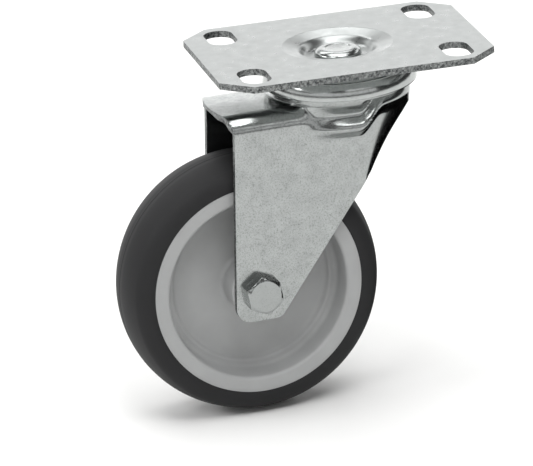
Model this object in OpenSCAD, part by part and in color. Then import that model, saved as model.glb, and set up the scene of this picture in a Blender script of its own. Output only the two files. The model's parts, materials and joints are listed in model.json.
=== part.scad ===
// Swivel castor: a pressed fixing plate, a swivel head with two rows of balls,
// a fork pressed from one sheet and a plastic wheel with a soft tread.
// The origin is the middle of the plate's top face, +Z points up, the wheel trails to -Y.

/* [Fixing plate] */
// Width of the plate, along X
plate_w = 80; // [76:1:90]
// Length of the plate, along Y
plate_l = 105; // [100:1:120]
// Thickness of the plate's sheet
plate_t = 2.5; // [2:0.1:3]
// Length taken off each edge at the cut corners
plate_cut = 10.7; // [6:0.1:12]
// Width of a slot
slot_w = 11; // [9:0.5:12]
// Length of a slot from end to end
slot_l = 19; // [15:0.5:20]
// Sheet left between a slot's end and the plate's side edge
slot_edge_x = 3.8; // [3:0.1:6]
// Sheet left between a slot's side and the plate's end edge
slot_edge_y = 8.35; // [7:0.05:10]
// Radial width of the dish's shallow cone
cone_run = 7.2; // [6:0.1:9]
// Radial width of the wall between the cone and the dish's floor
well_run = 3.2; // [2.8:0.1:3.6]
// Depth of the shallow cone at the well's edge
cone_depth = 1.65; // [1:0.05:2]
// Depth of the dish's floor
dish_depth = 4.2; // [3.8:0.1:5]

/* [Swivel head] */
// Diameter of the kingpin's shank
kingpin_d = 12; // [10:0.5:13]
// Radius of the kingpin's upset head on the dish's floor
head_r = 8.9; // [8:0.1:9.5]
// Radius of the flat on top of the upset head
head_flat_r = 6; // [5.4:0.1:6.5]
// Radius of the shallow recess that the tool leaves in the head's top
recess_r = 4.7; // [3:0.1:5]
// Depth of that recess
recess_depth = 0.25; // [0.1:0.05:0.5]
// Height of the upset head over the dish's floor
head_h = 2.8; // [2:0.1:3.5]
// Width of the dish's floor round the upset head
head_room = 1.8; // [1.5:0.1:2.2]
// Thickness of the race cup's sheet
cup_t = 2; // [1.6:0.1:2.4]
// Depth of the race cup's rim under the plate's top face
cup_depth = 13.9; // [13:0.1:14.5]
// Diameter of the balls in both rows
ball_d = 6; // [5:0.5:6.5]
// Distance of the upper row of balls outside the dish's well
upper_row_out = 6.6; // [6.4:0.1:7]
// Distance of the lower row of balls inside the upper row
lower_row_in = 5; // [4.5:0.1:5.5]
// Depth of the ball groove in the underside of the fork's crown
groove_depth = 0.6; // [0.3:0.1:0.9]
// Width of the lower race outside the middle of its row of balls
race_lip = 3.5; // [3:0.1:4.5]
// Radius of the lower race's hub
race_hub_r = 10; // [9:0.1:11]
// Width of the fork's crown inside the middle of the lower row of balls
crown_lip = 3; // [2.5:0.1:3.5]

/* [Fork] */
// Angle at which the fork stands, turned about the swivel axis
fork_turn = 3.5; // [-180:0.5:180]
// Thickness of the fork's sheet
fork_t = 2.4; // [2:0.1:2.8]
// Clear width between the fork's legs
fork_gap = 34; // [33:0.5:36]
// Depth of the fork's roof under the plate's top face
roof_depth = 17.1; // [16.8:0.1:19]
// Outer radius of the bend between the roof and a leg
bend_r = 6.9; // [5:0.1:8]
// Distance of the drawn bowl's outside from the middle of the upper row of balls
bowl_wrap = 5.8; // [5.6:0.1:6.5]
// Radius of the crown's outer edge, over the bowl's wall
crown_round = 3.4; // [3:0.1:3.6]
// Radius of the fillet between the bowl and the roof
bowl_fillet = 1.5; // [1:0.1:2]
// Radius of the fork's mouth about the swivel axis
mouth_r = 51.8; // [48:0.1:56]
// Depth at which the bowl starts to run in to the legs
belly_top = 19; // [18:0.1:20]
// Depth at which the bowl has run in to the legs
belly_end = 31.5; // [30:0.1:36]
// Depth of the apron's lower edge behind the wheel
apron_depth = 46.8; // [46:0.1:50]
// Reach of the apron behind the swivel axis at its lower edge
apron_reach = 6.3; // [6:0.1:9]
// Distance of a leg's back corner behind the swivel axis
leg_back = 4; // [2:0.1:4.2]
// Depth of a leg's back corner
leg_back_depth = 46; // [44:0.5:48]
// Radius at a leg's lower front corner
leg_front_r = 5.5; // [3:0.1:7]
// Radius at a leg's lower back corner
leg_rear_r = 4; // [3:0.1:6]
// Distance from the axle's centre down to a leg's end
leg_below_axle = 10.9; // [9:0.1:13]
// Distance from the axle's centre forward to a leg's front edge at its end
leg_before_axle = 10.5; // [9:0.1:12]
// Distance from the axle's centre back to a leg's lower back corner
leg_behind_axle = 7.1; // [6:0.1:9]

/* [Wheel] */
// Diameter of the wheel over its tread
wheel_d = 100; // [96:1:102]
// Distance of the axle behind the swivel axis
trail = 41.5; // [40:0.5:44]
// Depth of the axle under the plate's top face
axle_depth = 85.8; // [85:0.1:92]
// Width of the wheel over its rim faces
rim_w = 31.4; // [30:0.1:32]
// Width of the hub
hub_w = 33.4; // [32.4:0.1:33.6]
// Radius of the hub outside the web
hub_r = 10.7; // [9:0.1:12]
// Distance of each face of the web from the wheel's middle
web_x = 3.9; // [3:0.1:6]
// Height of the tread over the rim faces
tread_t = 9.65; // [8:0.05:12]
// Width of each flat rim face
rim_face = 5.05; // [4:0.05:7]
// Width of the shelf between the web's raised edge and the rim face
shelf_w = 4.2; // [3.5:0.1:6]
// Height of the shelf over the web
shelf_h = 1.7; // [0.5:0.1:2.5]
// Depth of the seat that holds the tread on the core
seat_depth = 2; // [1:0.1:3]
// Width of the flange on each side of that seat
flange_w = 2.2; // [1.5:0.1:3]
// Radius of the tread's crown
crown_r = 32; // [28:0.5:60]
// Radius of the tread's shoulders
shoulder_r = 3.5; // [2:0.1:5]
// Height of the parting line round the middle of the tread
parting_h = 0.12; // [0.05:0.01:0.3]

/* [Axle] */
// Diameter of the axle bolt
bolt_d = 8; // [6:0.5:8]
// Length of the bolt under its head
bolt_l = 50; // [49:1:55]
// Width across the flats of the bolt's head and the nut
hex_w = 13; // [12:0.5:14]
// Height of the bolt's head
bolt_head_h = 5.3; // [4:0.1:6]
// Angle at which the head's corners stand
hex_turn = 38; // [0:1:59]
// Height of the nut with its collar
nut_h = 8; // [7:0.1:9]
// Height of the nut's hexagon
nut_hex_h = 6; // [5:0.1:6.5]
// Outer diameter of the axle tube
tube_d = 12; // [11:0.1:13]

/* [Clearances] */
// Radial play of the kingpin in the pieces it holds
kingpin_play = 0.05; // [0.02:0.01:0.1]
// Play of the balls in their grooves
ball_play = 0.1; // [0.05:0.01:0.15]
// Gap between the plate and the race cup over the balls
cup_play = 0.8; // [0.7:0.1:1.2]
// Radial gap between the race cup's rim and the fork's bowl
rim_gap = 0.8; // [0.6:0.1:1.5]
// Radial play of the bolt in the fork's holes and in the tube
bolt_play = 0.15; // [0.1:0.01:0.25]
// Radial play of the wheel on the axle tube
wheel_play = 0.06; // [0.03:0.01:0.1]
// Radial play between the bolt and the parts threaded on it
thread_play = 0.02; // [0.01:0.01:0.05]

/* [Hidden] */
$fn = 96;

// Plate
slot_gap_x = plate_w - slot_l - 2 * slot_edge_x;
slot_gap_y = plate_l - slot_w - 2 * slot_edge_y;
floor_r = head_r + head_room;
well_r = floor_r + well_run;
dish_r = well_r + cone_run;
dish_lap = 1.5;

// Ball grooves and rows
upper_row_r = well_r + upper_row_out;
lower_row_r = upper_row_r - lower_row_in;
race_r = lower_row_r + race_lip;
crown_hole_r = lower_row_r - crown_lip;
bowl_r = upper_row_r + bowl_wrap;
cup_r = bowl_r + rim_gap + cup_t;
flank_angle = 50;
flank_pull = 4.2;
ball_r = ball_d / 2;
groove_r = ball_r + ball_play;
ball_gap = 0.1;
upper_z = -(plate_t + cup_play + cup_t + groove_r);
crown_top = upper_z - groove_r * sin(30);
lower_z = crown_top - fork_t + groove_depth - groove_r;
cup_floor = -(dish_depth + plate_t);
race_top = cup_floor - cup_t;
race_floor = lower_z - groove_r - 2;
race_flange = lower_z - groove_r * sin(35);
kingpin_r = kingpin_d / 2;
kingpin_bore = kingpin_r + kingpin_play;
foot_r = race_hub_r - 0.5;
foot_h = 3.6;

// Fork
leg_x = fork_gap / 2 + fork_t;
roof_z = -roof_depth;
bend_end = roof_z - bend_r;
blend_power = 8;
wall_inset = 0.12;
front_y = mouth_r + 12;
front_steps = 4;
side_steps = 10;
rear_steps = 28;
leg_end = axle_depth + leg_below_axle;
shell_end = leg_end + 4;
mouth_y = sqrt(mouth_r * mouth_r - leg_x * leg_x);
mouth_lap = 0.1;

// Wheel and axle
wheel_r = wheel_d / 2;
rim_x = rim_w / 2;
hub_x = hub_w / 2;
rim_out_r = wheel_r - tread_t;
rim_in_r = rim_out_r - rim_face;
step_r = rim_in_r - shelf_w;
shelf_x = web_x + shelf_h;
hub_fillet = 1.9;
seat_x = rim_x - flange_w;
seat_r = rim_out_r - seat_depth;
parting_w = 0.8;
tube_r = tube_d / 2;
bolt_r = bolt_d / 2;
bolt_bore = bolt_r + bolt_play;
hex_r = hex_w / 2 / cos(30);
collar_r = hex_w * 0.46;
insert_r = collar_r - 0.8;
insert_h = 1.9;

// Points on a cubic curve with two end points and two handles
function curve(a, b, c, d, n, first = 0) =
    [for (i = [first:n]) let(t = i / n, s = 1 - t)
        s * s * s * a + 3 * s * s * t * b + 3 * s * t * t * c + t * t * t * d];

// Points on an arc about a centre
function arc(c, r, from, to, n) =
    [for (i = [0:n]) let(w = from + (to - from) * i / n) c + r * [cos(w), sin(w)]];

function unit(v) = v / norm(v);

// Closed outline of a sheet: a path and the same path moved sideways by the sheet's thickness
function sheet(path, t) =
    let(last = len(path) - 1)
    concat(path, [for (i = [last:-1:0])
        let(d = unit(path[min(i + 1, last)] - path[max(i - 1, 0)]))
        path[i] + t * [d.y, -d.x]]);

// Outline with rounded corners: each corner is [x, y, radius]
function rounded(corners, n = 8) =
    [for (i = [0:len(corners) - 1])
        let(m = len(corners),
            p = [corners[i].x, corners[i].y],
            q = [corners[(i + m - 1) % m].x, corners[(i + m - 1) % m].y],
            s = [corners[(i + 1) % m].x, corners[(i + 1) % m].y],
            u = unit(q - p),
            v = unit(s - p),
            half = acos(u * v) / 2,
            c = p + unit(u + v) * corners[i].z / sin(half),
            a = p + u * corners[i].z / tan(half) - c,
            b = p + v * corners[i].z / tan(half) - c,
            from = atan2(a.y, a.x),
            turn = (atan2(b.y, b.x) - from + 540) % 360 - 180)
        each corners[i].z == 0 ? [p] : arc(c, corners[i].z, from, from + turn, n)];

// The plate's top face from the flat down into the dish
function dish_path() = concat(
    [[dish_r + dish_lap, 0], [dish_r, 0], [well_r + 0.19 * well_run, -cone_depth * 0.95]],
    curve([well_r, -cone_depth], [well_r - 0.6 * well_run, -cone_depth * 1.18],
          [well_r - 0.44 * well_run, -dish_depth], [floor_r, -dish_depth], 8),
    [[kingpin_bore, -dish_depth]]);

// The race cup's top face: floor, arch over the balls and flank down to the rim
function cup_path() =
    let(c = [upper_row_r, upper_z],
        r = groove_r + cup_t,
        low = 180 - asin((cup_floor - upper_z) / r),
        a = c + r * [cos(flank_angle), sin(flank_angle)],
        rim = [cup_r, -cup_depth])
    concat([[kingpin_bore, cup_floor]],
           arc(c, r, low, flank_angle, 12),
           curve(a, a + flank_pull * [sin(flank_angle), -cos(flank_angle)], rim + [0, flank_pull], rim, 8, 1));

// Section of the crown: up the bowl's wall, over the shoulder and groove, in to the hole and back below
function crown_section() =
    let(wall = bowl_r - wall_inset,
        inner = bowl_r - fork_t + wall_inset / 2,
        foot = roof_z + 0.5,
        r = crown_round,
        below = upper_z - groove_r - fork_t)
    concat([[wall, foot]],
           arc([wall - r, crown_top - r], r, 0, 80, 8),
           arc([upper_row_r, upper_z], groove_r, -30, -150, 10),
           [[crown_hole_r, crown_top], [crown_hole_r, crown_top - fork_t],
            [lower_row_r + 1.5, crown_top - fork_t], [upper_row_r - 2.3, below]],
           arc([inner - 1.4, below - 1.4], 1.4, 90, 0, 5),
           [[inner, foot]]);

function smooth(s) = let(c = min(1, max(0, s))) c * c * (3 - 2 * c);

// Half width of the fork over the swivel axis at a depth
function belly(z) = leg_x + (bowl_r - leg_x) * smooth((z + belly_end) / (belly_end - belly_top));

// Power of the curve behind the swivel axis: round at the bowl, squarer at the apron's edge
function rear_power(z) = 2 + pow(min(1, max(0, (bend_end - z) / (leg_back_depth + bend_end))), 2);

// Half width of the fork before the swivel axis: the neck blends smoothly into the bowl
function side_x(y, neck, half) =
    let(bulge = pow(max(0, pow(half, blend_power) - pow(neck, blend_power)), 1 / blend_power),
        round = bulge * sqrt(max(0, 1 - (y / bowl_r) * (y / bowl_r))))
    pow(pow(neck, blend_power) + pow(round, blend_power), 1 / blend_power);

side_y = concat([for (i = [0:front_steps - 1]) -front_y + (front_y - bowl_r) * i / front_steps],
                [for (i = [0:side_steps]) -bowl_r * (1 - i / side_steps)]);

// Closed outline of the fork's outside at one level, anticlockwise from its right front corner
function outline(neck, half, reach, power) =
    let(side = [for (y = side_y) [side_x(y, neck, half), y]])
    concat(side,
           [for (i = [1:rear_steps - 1]) let(w = 180 * i / rear_steps)
               [half * sign(cos(w)) * pow(abs(cos(w)), 2 / power), reach * pow(sin(w), 2 / power)]],
           [for (i = [len(side) - 1:-1:0]) [-side[i].x, side[i].y]],
           [for (i = [1:3]) [side[0].x * (i / 2 - 1), -front_y]]);

// One level: depth, half width of the neck, reach behind the axis, radius of the round, share of spread
function level(z, neck, reach, round = 0, spread = 1) =
    [for (p = outline(neck, z > bend_end ? max(belly(z), neck) : belly(z), reach, rear_power(z)))
        let(r = norm(p), s = r > round ? (round + spread * (r - round)) / r : 1)
        [p.x * s, p.y * s, z]];

function lowest_neck() = leg_x - bend_r;

// All levels of the outside from the crown down
function fork_levels() = concat(
    [for (w = [0, 40, 70])
        level(roof_z + 0.24 + (bowl_fillet - 0.24) * (1 - sin(w)), lowest_neck(), bowl_r,
              bowl_r + bowl_fillet * (1 - cos(w)), 0)],
    [level(roof_z + 0.12, lowest_neck(), bowl_r, bowl_r + bowl_fillet * (1 - cos(70)), 0.75)],
    [for (w = [0:15:75])
        level(roof_z - bend_r * (1 - cos(w)), leg_x - bend_r * (1 - sin(w)), bowl_r)],
    [for (p = curve([bowl_r - 0.25, bend_end], [bowl_r - 4, bend_end - 5.5],
                    [apron_reach + 11.3, bend_end - 8.8], [apron_reach, -apron_depth], 10))
        level(p.y, leg_x, p.x)],
    [level(-shell_end, leg_x, apron_reach)]);

// Cup-shaped wall of even thickness whose outside passes through rings of points
module pressed_shell(rings, t) {
    m = len(rings);
    n = len(rings[0]);
    inside = [for (k = [m - 1:-1:0]) [for (j = [0:n - 1])
        let(along = rings[k][(j + 1) % n] - rings[k][(j + n - 1) % n],
            down = rings[min(k + 1, m - 1)][j] - rings[max(k - 1, 0)][j])
        rings[k][j] - t * unit(cross(down, along))]];
    points = [for (ring = concat(rings, inside)) each ring];
    faces = [for (k = [0:2 * m - 1]) for (j = [0:n - 1])
        let(a = k * n, b = (k + 1) % (2 * m) * n, i = (j + 1) % n)
        [a + j, a + i, b + i, b + j]];
    polyhedron(points, faces, convexity = 8);
}

// The pressed blank's side outline, which cuts the legs and the apron's lower edge
module side_outline() {
    front = -trail - leg_before_axle;
    back = -trail + leg_behind_axle;
    slope = (apron_depth - leg_back_depth) / (apron_reach - leg_back + 1.5);
    polygon(rounded([
        [mouth_lap - mouth_y, bend_end + 0.8, 0],
        [mouth_lap - mouth_y, bend_end - 0.4, 0],
        [front, -leg_end, leg_front_r],
        [back, -leg_end, leg_rear_r],
        [leg_back, -leg_back_depth, 3],
        [leg_back + 30, -leg_back_depth - 30 * slope, 0],
        [leg_back + 30, 0, 0],
        [-mouth_r - 2, 0, 0],
        [-mouth_r - 2, roof_z + 1, 0]]));
}

// Room for the fork's sheet: round at the roof and its bends, open at the legs
module mouth_outline() {
    translate([0, 0, bend_end]) cylinder(r = mouth_r, h = -bend_end);
    translate([-mouth_r, -front_y - 2, -shell_end - 1])
        cube([2 * mouth_r, 2 * front_y, shell_end + 1 + bend_end]);
}

module turned_fork() {
    rotate([0, 0, fork_turn]) children();
}

// Places a shape drawn about Z on the axle's line, with its +Z towards +X
module on_axle() {
    turned_fork() translate([0, -trail, -axle_depth]) rotate([0, 90, 0]) children();
}

module ring_of_balls(row_r, z) {
    count = floor(180 / asin((ball_r + ball_gap / 2) / row_r));
    for (i = [0:count - 1])
        rotate([0, 0, 360 * i / count]) translate([row_r, 0, z]) sphere(r = ball_r, $fn = 48);
}

module slot() {
    for (side = [-1, 1])
        translate([side * (slot_l - slot_w) / 2, 0, 0]) cylinder(d = slot_w, h = 4 * plate_t, center = true);
    cube([slot_l - slot_w, slot_w, 4 * plate_t], center = true);
}

module top_plate() {
    x = plate_w / 2;
    y = plate_l / 2;
    c = plate_cut;
    color("#c4c6c6") {
        difference() {
            translate([0, 0, -plate_t]) linear_extrude(plate_t)
                polygon([[x - c, -y], [x, c - y], [x, y - c], [x - c, y],
                         [c - x, y], [-x, y - c], [-x, c - y], [c - x, -y]]);
            cylinder(r = dish_r + 0.7 * dish_lap, h = 4 * plate_t, center = true);
            for (sx = [-1, 1], sy = [-1, 1])
                translate([sx * slot_gap_x / 2, sy * slot_gap_y / 2, 0]) slot();
        }
        rotate_extrude() polygon(sheet(dish_path(), -plate_t));
    }
}

module race_cup() {
    color("#b9bbbc") rotate_extrude() difference() {
        polygon(sheet(cup_path(), cup_t));
        translate([upper_row_r, upper_z]) circle(r = groove_r);
    }
}

module kingpin() {
    floor_z = -dish_depth;
    color("#aeb0b1") rotate_extrude() polygon(concat(
        [[0, race_floor - foot_h], [foot_r - 2.5, race_floor - foot_h]],
        arc([foot_r - 1.6, race_floor - 1.6], 1.6, -60, 0, 5),
        [[foot_r, race_floor], [kingpin_r, race_floor], [kingpin_r, floor_z], [head_r, floor_z]],
        curve([head_r, floor_z + 0.9], [head_r, floor_z + 2], [head_flat_r + 1.2, floor_z + head_h],
              [head_flat_r, floor_z + head_h], 6),
        [[recess_r + recess_depth, floor_z + head_h], [recess_r, floor_z + head_h - recess_depth],
         [0, floor_z + head_h - recess_depth]]));
}

module lower_race() {
    color("#8f9294") rotate_extrude() difference() {
        polygon([[kingpin_bore, race_top], [race_hub_r - 0.8, race_top], [race_hub_r, race_top - 0.8],
                 [race_hub_r, lower_z], [race_hub_r + 1.6, race_flange], [race_r - 0.6, race_flange],
                 [race_r, race_flange - 0.6], [race_r, race_floor + 0.8], [race_r - 0.8, race_floor],
                 [kingpin_bore, race_floor]]);
        translate([lower_row_r, lower_z]) circle(r = groove_r);
    }
}

module upper_balls() {
    color("#d8dadb") ring_of_balls(upper_row_r, upper_z);
}

module lower_balls() {
    color("#d8dadb") ring_of_balls(lower_row_r, lower_z);
}

module fork() {
    color("#b5b8b6") turned_fork() difference() {
        union() {
            intersection() {
                pressed_shell(fork_levels(), fork_t);
                mouth_outline();
                rotate([90, 0, 90]) linear_extrude(4 * leg_x, center = true) side_outline();
            }
            rotate_extrude() difference() {
                polygon(crown_section());
                translate([upper_row_r, upper_z]) circle(r = groove_r);
                translate([lower_row_r, lower_z]) circle(r = groove_r);
            }
        }
        translate([0, -trail, -axle_depth]) rotate([0, 90, 0])
            cylinder(r = bolt_bore, h = 4 * leg_x, center = true);
    }
}

module hexagon(h) {
    intersection() {
        rotate([0, 0, hex_turn]) cylinder(r = hex_r, h = h, $fn = 6);
        cylinder(r1 = hex_r + h * 2, r2 = hex_w * 0.46, h = h);
    }
}

module axle_bolt() {
    color("#c9cbcc") on_axle() translate([0, 0, leg_x]) {
        hexagon(bolt_head_h);
        translate([0, 0, -bolt_l + 0.8]) cylinder(r = bolt_r, h = bolt_l - 0.4);
        translate([0, 0, -bolt_l]) cylinder(r1 = bolt_r - 0.8, r2 = bolt_r, h = 0.8);
    }
}

module axle_tube() {
    color("#9fa2a3") on_axle() difference() {
        cylinder(r = tube_r, h = fork_gap, center = true);
        cylinder(r = bolt_bore, h = fork_gap + 2, center = true);
    }
}

// The nut stands on the far leg, hexagon inwards and collar outwards
module axle_nut() {
    color("#c0c2c3") on_axle() translate([0, 0, -leg_x]) mirror([0, 0, 1]) difference() {
        union() {
            hexagon(nut_hex_h);
            cylinder(r = collar_r, h = nut_h);
        }
        translate([0, 0, -1]) cylinder(r = bolt_r + thread_play, h = nut_h + 2);
        translate([0, 0, nut_h - insert_h - 0.6]) cylinder(r = insert_r, h = insert_h);
    }
}

module nut_insert() {
    color("#3a5fa0") on_axle() translate([0, 0, -leg_x - nut_h + 0.6]) difference() {
        cylinder(r = insert_r, h = insert_h);
        translate([0, 0, -1]) cylinder(r = bolt_r + thread_play, h = insert_h + 2);
    }
}

// One face of the wheel's core, as [radius, distance from the middle], from the bore outwards
function core_face() = concat(
    [[tube_r + wheel_play, hub_x], [hub_r - 0.6, hub_x], [hub_r - 0.1, hub_x - 0.5]],
    arc([hub_r + hub_fillet, web_x + hub_fillet], hub_fillet, 180, 270, 6),
    curve([step_r - 1.4, web_x], [step_r - 0.4, web_x], [step_r - 0.8, shelf_x], [step_r + 0.2, shelf_x], 6),
    curve([step_r + 1.2, shelf_x], [rim_in_r - 1, shelf_x],
          [rim_in_r - 1, shelf_x + 2], [rim_in_r - 0.8, rim_x - 1], 8),
    [[rim_in_r - 0.6, rim_x - 0.3], [rim_in_r, rim_x], [rim_out_r, rim_x], [rim_out_r, seat_x],
     [seat_r, seat_x - seat_depth * 0.4]]);

module wheel_core() {
    face = core_face();
    color("#a7a9a9") on_axle() rotate_extrude()
        polygon(concat(face, [for (i = [len(face) - 1:-1:0]) [face[i].x, -face[i].y]]));
}

// Half of the tyre's outside, from the crown's middle to the rim face
function tread_half() =
    let(top = wheel_r - parting_h,
        c = top - crown_r,
        side = rim_x + 0.3,
        a = acos((top - 2.5 - c) / crown_r),
        line = asin(parting_w / 2 / crown_r),
        from = c + crown_r * cos(a))
    concat([[wheel_r, 0], [wheel_r, parting_w / 6]],
           arc([c, 0], crown_r, line, a, 8),
           curve([from, crown_r * sin(a)], [from - 0.9, crown_r * sin(a) + 2],
                 [from - shoulder_r - 0.4, side], [rim_out_r + 1.2, side], 8, 1),
           [[rim_out_r, rim_x]]);

module tyre() {
    half = tread_half();
    color("#3b3c3d") on_axle() rotate_extrude() polygon(concat(
        [for (i = [len(half) - 1:-1:1]) [half[i].x, -half[i].y]], half,
        [[rim_out_r, seat_x], [seat_r, seat_x - seat_depth * 0.4],
         [seat_r, -seat_x + seat_depth * 0.4], [rim_out_r, -seat_x]]));
}

top_plate();
race_cup();
kingpin();
lower_race();
upper_balls();
lower_balls();
fork();
axle_bolt();
axle_tube();
axle_nut();
nut_insert();
wheel_core();
tyre();
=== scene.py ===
import json
from math import acos, asin, atan2, cos, degrees, hypot, pi, radians, sin, sqrt, tan

import bmesh
import bpy
from bpy.props import FloatProperty, FloatVectorProperty, PointerProperty
from mathutils import Matrix, Vector


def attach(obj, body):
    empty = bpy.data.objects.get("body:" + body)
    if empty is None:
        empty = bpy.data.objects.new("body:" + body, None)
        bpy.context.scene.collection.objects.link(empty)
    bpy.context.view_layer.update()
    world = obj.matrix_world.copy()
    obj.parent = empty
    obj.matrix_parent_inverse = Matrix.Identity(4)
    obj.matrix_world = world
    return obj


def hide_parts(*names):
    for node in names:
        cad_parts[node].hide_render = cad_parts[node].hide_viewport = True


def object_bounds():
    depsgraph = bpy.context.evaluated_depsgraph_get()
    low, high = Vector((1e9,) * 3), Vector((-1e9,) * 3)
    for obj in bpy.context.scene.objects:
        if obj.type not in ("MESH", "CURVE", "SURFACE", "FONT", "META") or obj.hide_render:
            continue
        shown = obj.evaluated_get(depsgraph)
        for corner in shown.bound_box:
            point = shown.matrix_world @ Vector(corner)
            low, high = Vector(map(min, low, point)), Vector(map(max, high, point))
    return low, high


bl_info = {
    "name": "Swivel castor",
    "version": (1, 0, 0),
    "blender": (4, 5, 0),
    "location": "3D View > Sidebar > Castor",
    "description": "Dresses the swivel castor's frame: plated pressings, plastic wheel, soft tread",
    "category": "Object",
}

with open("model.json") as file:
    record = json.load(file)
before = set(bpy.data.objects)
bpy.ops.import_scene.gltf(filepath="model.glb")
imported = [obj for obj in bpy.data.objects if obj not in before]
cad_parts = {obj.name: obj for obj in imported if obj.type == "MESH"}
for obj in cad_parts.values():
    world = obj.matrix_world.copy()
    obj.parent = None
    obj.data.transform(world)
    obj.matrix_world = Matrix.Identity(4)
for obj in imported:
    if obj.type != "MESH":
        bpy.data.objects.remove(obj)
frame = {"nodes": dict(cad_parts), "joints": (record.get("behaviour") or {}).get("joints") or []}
CAD_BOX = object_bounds()
MM = 0.001

# The wheel's joint gives the axle: its place, and the angle at which the fork stands
JOINTS = {joint["name"]: joint for joint in frame["joints"]}
AXLE_AT = Vector(JOINTS["wheel_roll"]["pos_m"])
AXLE_LINE = Vector(JOINTS["wheel_roll"]["axis"])
TRAIL = hypot(AXLE_AT.x, AXLE_AT.y)
AXLE_DEPTH = -AXLE_AT.z
IN_FORK = Matrix.Rotation(atan2(AXLE_LINE.y, AXLE_LINE.x), 4, "Z")
ON_AXLE = IN_FORK @ Matrix.Translation((0, -TRAIL, -AXLE_DEPTH)) @ Matrix.Rotation(pi / 2, 4, "Y")


# Sizes and colours that a user can change

def length(name, mm, description):
    return FloatProperty(name=name, default=mm * MM, unit="LENGTH", precision=5, description=description)


def linear(hex_code):
    """An sRGB hex colour as the linear values that shaders take."""
    channels = [int(hex_code[i:i + 2], 16) / 255 for i in (1, 3, 5)]
    return tuple(c / 12.92 if c <= 0.04045 else ((c + 0.055) / 1.055) ** 2.4 for c in channels)


def colour(name, hex_code, description):
    return FloatVectorProperty(name=name, default=linear(hex_code), subtype="COLOR", min=0, max=1,
                               description=description)


class PlateSizes(bpy.types.PropertyGroup):
    """Fixing plate, in the part's own frame"""
    width: length("Width", 80, "Width of the plate across the fork")
    depth: length("Length", 105, "Length of the plate along the fork")
    sheet: length("Sheet", 2.5, "Thickness of the plate's sheet")
    corner: length("Cut corner", 10.7, "Length taken off each edge at the cut corners")
    slot_gap_x: length("Slot spacing across", 53.4, "Distance between the slots' middles across the plate")
    slot_gap_y: length("Slot spacing along", 77.3, "Distance between the slots' middles along the plate")
    slot_width: length("Slot width", 11, "Width of a slot")
    slot_length: length("Slot length", 19, "Length of a slot from end to end")
    dish_radius: length("Dish radius", 21.1, "Radius of the dish at the plate's top face")
    well_radius: length("Well radius", 13.9, "Radius at which the shallow cone turns down into the well")
    well_lip: length("Well lip", 1.7, "Width of the rounded lip outside the well's steep wall")
    cone_depth: length("Cone depth", 1.65, "Depth of the shallow cone at the well's edge")
    dish_depth: length("Dish depth", 4.2, "Depth of the dish's floor")
    edge_radius: length("Edge rounding", 0.35, "Rounding that the press leaves on the sheet's edges")


class HeadSizes(bpy.types.PropertyGroup):
    """Swivel head: race cup and kingpin"""
    cup_sheet: length("Cup sheet", 2, "Thickness of the race cup's sheet")
    cup_radius: length("Cup radius", 29.1, "Outer radius of the race cup at its rim")
    cup_depth: length("Cup depth", 13.9, "Depth of the race cup's rim under the plate's top face")
    row_radius: length("Ball row radius", 20.5, "Radius of the upper row of balls")
    row_depth: length("Ball row depth", 8.4, "Depth of the upper row of balls")
    groove_radius: length("Groove radius", 3.1, "Radius of the ball grooves")
    lower_row_radius: length("Lower row radius", 15.5, "Radius of the lower row of balls")
    lower_row_depth: length("Lower row depth", 14.85, "Depth of the lower row of balls")
    pin_radius: length("Kingpin radius", 6, "Radius of the kingpin's shank")
    head_radius: length("Head radius", 8.9, "Radius of the kingpin's upset head")
    head_flat: length("Head flat", 6, "Radius of the flat on top of the upset head")
    recess_radius: length("Recess radius", 4.7, "Radius of the shallow recess in the head's top")
    recess_depth: length("Recess depth", 0.25, "Depth of that recess")
    head_height: length("Head height", 2.8, "Height of the upset head over the dish's floor")
    foot_radius: length("Foot radius", 9.5, "Radius of the kingpin's foot under the lower race")
    foot_top: length("Foot depth", 19.95, "Depth of the foot's upper face")
    foot_height: length("Foot height", 3.6, "Height of the kingpin's foot")


class ForkSizes(bpy.types.PropertyGroup):
    """Fork pressed from one sheet"""
    sheet: length("Sheet", 2.4, "Thickness of the fork's sheet")
    gap: length("Leg gap", 34, "Clear width between the legs")
    roof_depth: length("Roof depth", 17.1, "Depth of the roof under the plate's top face")
    bend_radius: length("Bend radius", 6.9, "Outer radius of the bend between roof and leg")
    bowl_radius: length("Bowl radius", 26.3, "Outer radius of the drawn bowl")
    bowl_fillet: length("Bowl fillet", 1.5, "Radius between the bowl and the roof")
    crown_depth: length("Crown depth", 9.95, "Depth of the crown's upper face")
    crown_round: length("Crown rounding", 3.4, "Radius of the crown's outer edge")
    crown_hole: length("Crown hole", 12.5, "Radius of the hole in the crown")
    mouth_radius: length("Mouth radius", 51.8, "Radius of the mouth about the swivel axis")
    wall_waist: length("Wall waist", 5, "How far the bowl's wall draws in over the legs")
    waist_depth: length("Waist depth", 22, "Depth of that waist")
    shoulder_flare: length("Shoulder flare", 3, "How far the shoulder over a leg stands out from the waist")
    shoulder_rise: length("Shoulder rise", 7.5, "How far the shoulder climbs towards the rear")
    belly_top: length("Bowl's lower end", 26.5, "Depth at which the bowl starts to run in to the legs")
    belly_end: length("Legs' upper end", 31.5, "Depth at which the bowl has run in to the legs")
    apron_depth: length("Apron depth", 46.8, "Depth of the apron's lower edge")
    apron_reach: length("Apron reach", 6.3, "Reach of the apron behind the swivel axis at its lower edge")
    leg_back: length("Leg back", 4, "Distance of a leg's back corner behind the swivel axis")
    leg_back_depth: length("Leg back depth", 46, "Depth of a leg's back corner")
    front_round: length("Front corner", 5.5, "Radius at a leg's lower front corner")
    rear_round: length("Rear corner", 4, "Radius at a leg's lower back corner")
    below_axle: length("Below axle", 10.9, "Distance from the axle down to a leg's end")
    before_axle: length("Before axle", 10.5, "Distance from the axle forward to a leg's front edge")
    behind_axle: length("Behind axle", 7.1, "Distance from the axle back to a leg's lower back corner")
    hole_radius: length("Axle hole radius", 4.15, "Radius of the axle holes in the legs")


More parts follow.
